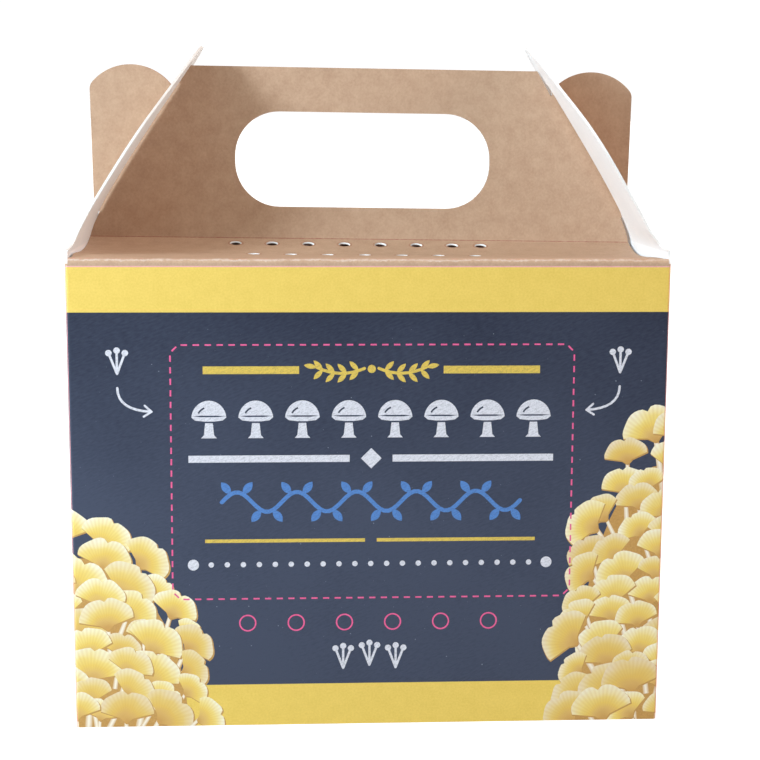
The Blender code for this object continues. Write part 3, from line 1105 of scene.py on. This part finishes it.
profile = roof_profile()
roof_lines, sheet_length = profile_folds(profile)
HANDLE_START = sheet_length - HANDLE_HEIGHT
print("sheet", round(sheet_length, 1), "mm long, handle starts at height", round(profile[-2][1], 2))

# %% [markdown]
# ### The kraft face of the roof
# A pale line of cracked fibres runs along the front fold, and a thin red ring round each vent. A thin dark
# red line along the handle's foot is painted shade, standing in for the shadow in that crease. They are drawn
# in the material, from the distance to the nearest vent and to the two creases.

# %% Roof and handle measures
HANDLE_TOP_HALF, HANDLE_FOOT_HALF = 63.1, 98.0
ROOF_HALF, FOLD_HALF = 98.2, 99.7
HAND_HOLE = (46.1, 17.1, 16.0, 30.8)
NECK, NOTCH = (94.9, 11.0), (68.3, 55.2, 0.8)
EAR_EDGE, EAR_FOOT = 97.8, (96.9, 14.5)
EAR_MIDDLE, EAR_RADIUS, EAR_CORNER = (83.0, 45.45), 18.3, 4.0
EAR_INNER_ANGLE = 143.0
RIM_FOOT = MILLIMETRE * (NOTCH[1] - EAR_MIDDLE[1])
VENT_RADIUS, VENT_RING, VENT_UNDER_SHARE = 2.1, 0.00262, 0.84
VENT_PITCH, VENT_REACH = 13.05, 1.3 * VENT_RADIUS * MILLIMETRE
VENT_ROWS = ((5.2, 8), (22.5, 7))
VENT_LAST_SHIFT = -2.7
FOLD_DEPTH, FOOT_DEPTH = 0.004, 0.0585
LAST_VENT_START = MILLIMETRE * (3.5 * VENT_PITCH + VENT_LAST_SHIFT - VENT_RADIUS - 1.5)

# %% Roof material
def scuffed_fold(net, point, depth, height, base):
    """The base colour with pale cracked fibres and a faint red fringe along the fold."""
    crack = net.noise(point, 900.0, 3.0)
    slow = net.times(net.minus(net.noise(point, 150.0), 0.5), 0.0009)
    fast = net.times(net.minus(crack, 0.5), 0.0011)
    below = net.plus(net.minus(FOLD - 0.00038, height), net.plus(slow, fast))
    near_fold = net.maths("LESS_THAN", depth, FOLD_DEPTH)
    patches = net.remap(net.noise(point, 55.0, 1.0), 0.28, 0.52)
    worn = net.times(patches, net.remap(net.noise(point, 420.0), 0.30, 0.56))
    fringe = net.times(net.line(below, -0.00036, 0.00022), near_fold, net.remap(crack, 0.42, 0.60))
    base = net.blend(net.times(fringe, 0.35), base, colour(218, 128, 124))
    scuff = net.times(net.line(below, 0.0, 0.00034), near_fold, net.remap(worn, 0.0, 1.0, 0.10, 0.62))
    base = net.blend(scuff, base, colour(222, 209, 200))
    end = net.remap(net.maths("ABSOLUTE", net.split(point)[0]), HALF_WIDTH - 0.0001, HALF_WIDTH + 0.0004)
    return net.blend(net.times(end, near_fold), base, colour(244, 242, 242)), crack


def vent_rings(net, across, depth):
    """1 on a thin ring round each vent."""
    beyond = net.maths("GREATER_THAN", across, LAST_VENT_START)
    across = net.minus(across, net.times(beyond, MILLIMETRE * VENT_LAST_SHIFT))
    rows = []
    for distance, count in VENT_ROWS:
        first = -MILLIMETRE * VENT_PITCH * count / 2
        local = net.maths("MODULO", net.minus(across, first), MILLIMETRE * VENT_PITCH)
        local = net.minus(local, MILLIMETRE * VENT_PITCH / 2)
        away = net.minus(depth, MILLIMETRE * (ROOF_RUN - distance))
        ring = net.line(net.reach(local, away), VENT_RING, 0.00022)
        inside = net.times(net.maths("GREATER_THAN", across, first), net.maths("LESS_THAN", across, -first))
        rows.append(net.times(ring, inside))
    return net.maths("MAXIMUM", *rows)


def make_roof_kraft(name, face):
    """Kraft with a scuffed fold, a foot line of painted crease shade and the vent rings; face is -1 in front,
    1 behind.
    """
    material, net = new_material(name, 0.68)
    point = net.board_point()
    tone = add_fibres(net, point)
    x, y, height = net.split(point)
    depth = net.plus(net.times(y, -1.0 * face), HALF_DEPTH)
    base, crack = scuffed_fold(net, point, depth, height, kraft_colour(net, tone))
    rings = vent_rings(net, net.times(x, -1.0 * face), depth)

    hung = net.plus(height, net.times(x, HANDLE_TILT))
    # Painted shade: a thin dark red line along the handle's foot stands in for the shadow in that crease.
    foot = net.line(hung, FOLD + MILLIMETRE * (ROOF_RISE + 0.05), 0.00018)
    foot = net.times(foot, net.maths("GREATER_THAN", depth, FOOT_DEPTH))
    foot = net.times(foot, net.remap(crack, 0.35, 0.62, 0.5, 1.0))
    dome = net.minus(net.maths("ABSOLUTE", net.minus(x, HANDLE_SHIFT)), MILLIMETRE * EAR_MIDDLE[0])
    rise = net.minus(hung, FOLD + MILLIMETRE * EAR_MIDDLE[1])
    rim = net.line(net.reach(dome, rise), MILLIMETRE * EAR_RADIUS, 0.00026)
    rim = net.times(rim, net.remap(dome, -0.003, -0.008), net.remap(rise, RIM_FOOT, RIM_FOOT + 0.0006))
    marks = net.maths("MAXIMUM", net.times(rings, 0.5), net.times(foot, 0.8))
    marks = net.maths("MAXIMUM", marks, net.times(rim, 0.4))
    net.paint(net.blend(marks, base, colour(146, 58, 46)))
    return material


# %% Outline of the roof and handle
def mirrored(points):
    """A right half closed with its mirror image on the left."""
    return points + [(-x, y) for x, y in reversed(points) if x > 0.0]


def on_handle(points):
    """Places on the handle, as heights over the fold, put on the flat sheet."""
    return [(x, HANDLE_START + y) for x, y in points]


def ear_points():
    """From the notch over the ear's dome and down its outer edge to the neck."""
    corner_x = EAR_EDGE - EAR_CORNER
    across = corner_x - EAR_MIDDLE[0]
    up = math.sqrt((EAR_RADIUS - EAR_CORNER) ** 2 - across**2)
    turn = math.degrees(math.atan2(up, across))
    points = round_points(EAR_RADIUS, EAR_INNER_ANGLE, turn, 22, EAR_MIDDLE)
    points += round_points(EAR_CORNER, turn, 0, 9, (corner_x, EAR_MIDDLE[1] + up))[1:]
    return points + [EAR_FOOT, NECK]


def hand_hole_points():
    """The long rounded hole for the hand."""
    half_length, half_height, corner, middle = HAND_HOLE
    across, up = half_length - corner, half_height - corner
    points = []
    for x, y, start in ((across, up, 0), (-across, up, 90), (-across, -up, 180), (across, -up, 270)):
        points += round_points(corner, start, start + 90, 14, (x, middle + y))
    return on_handle(points)


def top_outline():
    """The right half of roof and handle, mirrored: the handle's half first, then the roof's."""
    notch_x, notch_y, notch_width = NOTCH
    handle = [(HANDLE_TOP_HALF, HANDLE_HEIGHT), (notch_x - notch_width / 2, notch_y)]
    handle += [(notch_x + notch_width / 2, notch_y)] + ear_points()
    handle += [(HANDLE_FOOT_HALF - 0.6, ROOF_RISE + 3.0), (HANDLE_FOOT_HALF, ROOF_RISE + 0.6)]
    roof_end = HANDLE_START + ROOF_RISE
    roof = [(ROOF_HALF, roof_end - 1.0), (ROOF_HALF, 4.2), (FOLD_HALF, 2.8), (FOLD_HALF, 0.0)]
    return mirrored(on_handle(handle) + roof)


def vent_centres():
    """Across and depth of every vent; the last of eight is nearer to its neighbour."""
    centres = []
    for distance, count in VENT_ROWS:
        for i in range(count):
            shift = VENT_LAST_SHIFT if i == VENT_ROWS[0][1] - 1 else 0.0
            centres.append((VENT_PITCH * (i - (count - 1) / 2) + shift, ROOF_RUN - distance))
    return centres


def flat_length_at(depth):
    """How far along the flat sheet the profile reaches a depth."""
    travelled = 0.0
    for (x0, y0), (x1, y1) in zip(profile, profile[1:]):
        if x0 <= depth < x1:
            return travelled + math.hypot(x1 - x0, y1 - y0) * (depth - x0) / (x1 - x0)
        travelled += math.hypot(x1 - x0, y1 - y0)
    return travelled


# %% Fold the two tops
SIDE_LIFT = {-1: 1.5, 1: 0.5}
CORNER_LIFT = {-1: 1.1, 1: 0.0}
SIDE_LINES = (30.0, 55.0, 70.0, 80.0, 87.0, 92.0, 96.0)


def both_ways(places):
    """Places in metres on both halves of a sheet."""
    return [side * place * MILLIMETRE for place in places for side in (-1, 1)]


def lift_sides(board):
    """Raise the roof towards the side walls, where it lies on them and can't sag."""
    for vertex in board.data.vertices:
        depth = 1000 * (HALF_DEPTH - abs(vertex.co.y))
        if 0.0 < depth < ROOF_RUN:
            end = -1 if vertex.co.x < 0.0 else 1
            edge_share = abs(vertex.co.x) / (ROOF_HALF * MILLIMETRE)
            corner = CORNER_LIFT[end] * ease(depth / 8.0) * (1.0 - ease((depth - 8.0) / 25.0)) * edge_share**9
            vertex.co.z += MILLIMETRE * (SIDE_LIFT[end] * roof_sag_share(depth) * edge_share**3 + corner)


def narrow_vents(board, side, outer_points):
    """Make each vent a little narrower underneath, and mark its foot for the painted shade on the cut edge.
    """
    board.data.attributes.new("shaded", "FLOAT", "POINT")
    for across, depth in vent_centres():
        centre = Vector((-side * MILLIMETRE * across, side * (HALF_DEPTH - MILLIMETRE * depth), 0.0))
        foot = set()
        for vertex in board.data.vertices[outer_points:]:
            if (vertex.co.xy - centre.xy).length < VENT_REACH and vertex.co.z < FOLD + 0.004:
                foot.add(vertex.index)
        # These points get the painted shade of the cut edge.
        shaded = board.data.attributes["shaded"]
        for number in foot:
            shaded.data[number].value = 1.0
        take(board, "EDIT")
        pick_points(board, foot)
        narrower = (VENT_UNDER_SHARE, VENT_UNDER_SHARE, 1.0)
        bpy.ops.transform.resize(value=narrower, center_override=centre)
        bpy.ops.object.mode_set(mode="OBJECT")


for name, side, turn, end in (
    ("front_roof_and_handle", -1, 0, "front"),
    ("back_roof_and_handle", 1, 180, "back"),
):
    vents = [round_points(VENT_RADIUS, 0, 345, 23, (x, flat_length_at(depth))) for x, depth in vent_centres()]
    finish = make_roof_kraft(f"roof_kraft_{end}", side)
    board = cut_sheet(name, top_outline(), [hand_hole_points()] + vents, finish)
    divide_along(board, both_ways(SIDE_LINES), SIDEWAYS)
    fold_sheet(board, roof_lines)
    stand_up(board, (0.0, side * HALF_DEPTH, FOLD - FOLD_RADIUS * MILLIMETRE), turn)
    lift_sides(board)
    outer_points = len(board.data.vertices)
    # Painted shade: the roof's underside takes the dark brown board, standing in for the shade in the closed
    # carton.
    add_board(board, even=False, inside=painted_shade_board)
    narrow_vents(board, side, outer_points)
    settle(board, handle=True)
    hand_over(board, "carton", "kraft_board", f"{end}_roof", f"{end}_handle")

# %% [markdown]
# ## Side flaps
# Each side wall ends in a flap that leans in and hooks over the handle's ear through a slit. The flap is
# cut flat like the roof, then curved: it leaves the crease steeply and lies flatter towards its tip. Its
# curve is a three-point curve, the same one that the solids use.

# %% Flap curve and outline
FLAP_BASE_HALF, FLAP_HALF = 61.0, 50.5
FLAP_BASE_CORNER = {-1: 3.2, 1: 1.4}
FLAP_SHOULDER, FLAP_SHOULDER_RADIUS, FLAP_TAPER = 33.0, 26.0, 50.0
FLAP_TIP_RADIUS = 23.5
FLAP_LEAN, FLAP_BEND, FLAP_TIP = 12.0, 11.95, (40.4, 69.0)
SLIT_HALF, SLIT_START, SLIT_END = 2.4, 10.1, 65.9
FLAP_START = 0.1
FLAP_LINES = (8.0, 16.0, 24.0, 32.0, 40.0, 48.0, 54.0, 58.0)


def flap_profile(steps=26):
    """The outer face of the bent flap, as (inwards, upwards) from its crease."""
    lean = math.radians(FLAP_LEAN)
    bend = FLAP_BEND * Vector((math.sin(lean), math.cos(lean)))
    profile = []
    for i in range(steps + 1):
        t = 1.05 * (i / steps) ** 1.2
        middle = 2 * t * (1 - t) * bend + t * t * Vector(FLAP_TIP)
        ahead = (2 * (1 - 2 * t) * bend + 2 * t * Vector(FLAP_TIP)).normalized()
        profile.append(tuple(middle + 500 * BOARD * Vector((-ahead.y, ahead.x))))
    return profile


def flap_outline(side):
    """Wide at the crease, straight sides, then a taper to a round tip."""
    base = [(FLAP_BASE_HALF, FLAP_START)]
    for i in range(9):
        angle = math.radians(90 * i / 8)
        x = FLAP_BASE_HALF - (FLAP_BASE_HALF - FLAP_HALF) * math.sin(angle)
        base.append((x, FLAP_START + 0.8 + FLAP_BASE_CORNER[side] * (1 - math.cos(angle))))
    shoulder_middle = (FLAP_HALF - FLAP_SHOULDER_RADIUS, FLAP_SHOULDER)
    shoulder = round_points(FLAP_SHOULDER_RADIUS, 0, FLAP_TAPER, 14, shoulder_middle)
    taper = math.radians(FLAP_TAPER)
    reach = math.cos(taper) * shoulder[-1][0] + math.sin(taper) * shoulder[-1][1]
    tip_height = (reach - FLAP_TIP_RADIUS) / math.sin(taper)
    tip = round_points(FLAP_TIP_RADIUS, FLAP_TAPER, 90, 12, (0.0, tip_height))
    return mirrored(base + shoulder + tip[:-1] + [(0.0, tip[-1][1])])


# %% Cut, bend and place the flaps
flap_points = flap_profile()
flap_lines, flap_length = profile_folds(flap_points)
slit = round_points(SLIT_HALF, 180, 360, 8, (0.0, SLIT_START + SLIT_HALF))
slit += round_points(SLIT_HALF, 0, 180, 8, (0.0, SLIT_END - SLIT_HALF))
HINGE_X = HALF_WIDTH - BOARD / 2
start_in, start_up = flap_points[0]
SIDES = (("left", -1), ("right", 1))
print("flap reaches", round(flap_length, 1), "mm along its outer face")

for end, side in SIDES:
    flap = cut_sheet(f"{end}_flap_board", flap_outline(side), [slit], kraft)
    divide_along(flap, both_ways(FLAP_LINES), SIDEWAYS)
    fold_sheet(flap, flap_lines)
    across = side * (HINGE_X - start_in * MILLIMETRE)
    stand_up(flap, (across, 0.0, CREASE + start_up * MILLIMETRE), side * 90)
    # The left flap takes the cool-tinted lining, a painted light correction.
    add_board(flap, 20, inside=painted_cool_light_lining if side < 0 else lining)
    settle(flap, flap=side)
    hand_over(flap, f"{end}_flap", "white_board", f"{end}_side_flap")

# %% [markdown]
# ## Crease strips
# Between the wall and its flap the board is creased. This narrow strip is a piece of its own, from the top of
# the wall up to the foot of the flap.
# The wall stops a millimetre below the crease, which leaves the flap's foot room to turn.

# %% Crease strips
STRIP_HALF = 60.9
STRIP_RISE = 1000 * CREASE + start_up - SIDE_SHEET_TOP + 0.12

for end, side in SIDES:
    strip = cut_sheet(f"{end}_crease_strip", bar(-STRIP_HALF, 0.0, STRIP_HALF, STRIP_RISE), [], kraft)
    divide_along(strip, both_ways(FLAP_LINES), SIDEWAYS)
    fold_sheet(strip, [(STRIP_RISE * MILLIMETRE * share, 0.0) for share in (0.2, 0.4, 0.6, 0.8)])
    stand_up(strip, (side * HALF_WIDTH, 0.0, SIDE_SHEET_TOP * MILLIMETRE), side * 90)
    add_board(strip)
    settle(strip)
    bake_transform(strip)
    print(strip.name, len(strip.data.polygons), "faces")

# %% [markdown]
# ## Board that stays from the frame
# The lock bottom and the glued strip are flat panels of the right shape already, so their solids stay
# and only get the board's finish. Kraft is outside, so what shows from below is kraft.

# %% Finish the plain panels
for name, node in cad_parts.items():
    if not node.hide_render:
        node.data.materials.clear()
        node.data.materials.append(kraft)
        print(name, "keeps its solid")

# %% [markdown]
# ## Floor and light
# A plain white floor and a bright surround that is strongest on the upper left, as in a product picture.
# The small key light stands low on the left: it lights the left ear and the right flap, and it lays the
# left flap's soft shadow on the handle. A large cool light fills the front, a warm one comes from the
# right, and a plain one stands behind, so that the back isn't dark when the carton is turned round.

# %% Stage
FLOOR_SIZE = 60.0
PAPER_WHITE = 1.05
LIGHT_TARGET = (0.0, 0.0, 0.17)
LIGHTS = (
    ("key_light", (-0.59, -0.42, 0.325), LIGHT_TARGET, 0.16, 4.7, (0.76, 0.90, 1.0)),
    ("window_light", (-0.90, -1.20, 0.50), LIGHT_TARGET, 0.80, 2.6, (0.48, 0.85, 1.0)),
    ("warm_side_light", (1.00, -0.15, 0.65), LIGHT_TARGET, 0.60, 8.0, (1.0, 0.83, 0.76)),
    ("back_light", (0.20, 1.20, 0.14), (0.0, 0.0, 0.10), 0.80, 4.0, (1.0, 0.96, 0.92)),
)

bpy.ops.mesh.primitive_plane_add(size=FLOOR_SIZE, location=(0.0, 0.0, -0.0002))
floor = bpy.context.object
floor.name = "floor"
floor_paint, net = new_material("floor_paint", 0.9, 0.0)
net.shader.inputs["Base Color"].default_value = (0.45, 0.45, 0.45, 1.0)
net.shader.inputs["Emission Color"].default_value = (1.0, 1.0, 1.0, 1.0)
glare = net.times(net.add("ShaderNodeLightPath")["Is Camera Ray"], PAPER_WHITE)
net.tree.links.new(glare, net.shader.inputs["Emission Strength"])
floor.data.materials.append(floor_paint)

world = bpy.data.worlds.new("studio")
bpy.context.scene.world = world
world.use_nodes = True
net = Net(world.node_tree)
direction = net.add("ShaderNodeTexCoord")["Generated"]
inputs = {0: direction, 1: (-0.50, -0.10, 0.86)}
towards = net.add("ShaderNodeVectorMath", inputs, operation="DOT_PRODUCT")["Value"]
surround = world.node_tree.nodes["Background"]
surround.inputs["Color"].default_value = (1.0, 0.93, 0.84, 1.0)
net.tree.links.new(net.remap(towards, 0.05, 0.75, 0.16, 0.93), surround.inputs["Strength"])
backdrop = net.add("ShaderNodeBackground", {"Color": (1.0, 1.0, 1.0, 1.0), "Strength": PAPER_WHITE})[0]
seen = net.add("ShaderNodeLightPath")["Is Camera Ray"]
paper_roll = net.add("ShaderNodeMixShader", {0: seen, 1: surround.outputs[0], 2: backdrop})[0]
net.tree.links.new(paper_roll, world.node_tree.nodes["World Output"].inputs["Surface"])
bpy.context.scene.view_settings.view_transform = "Standard"

for name, place, target, size, power, tint in LIGHTS:
    bpy.ops.object.light_add(type="AREA", location=place)
    lamp = bpy.context.object
    lamp.name = name
    lamp.data.shape = "SQUARE"
    lamp.data.size = size
    lamp.data.energy = power
    lamp.data.color = tint
    lamp.rotation_euler = (Vector(target) - Vector(place)).to_track_quat("-Z", "Y").to_euler()
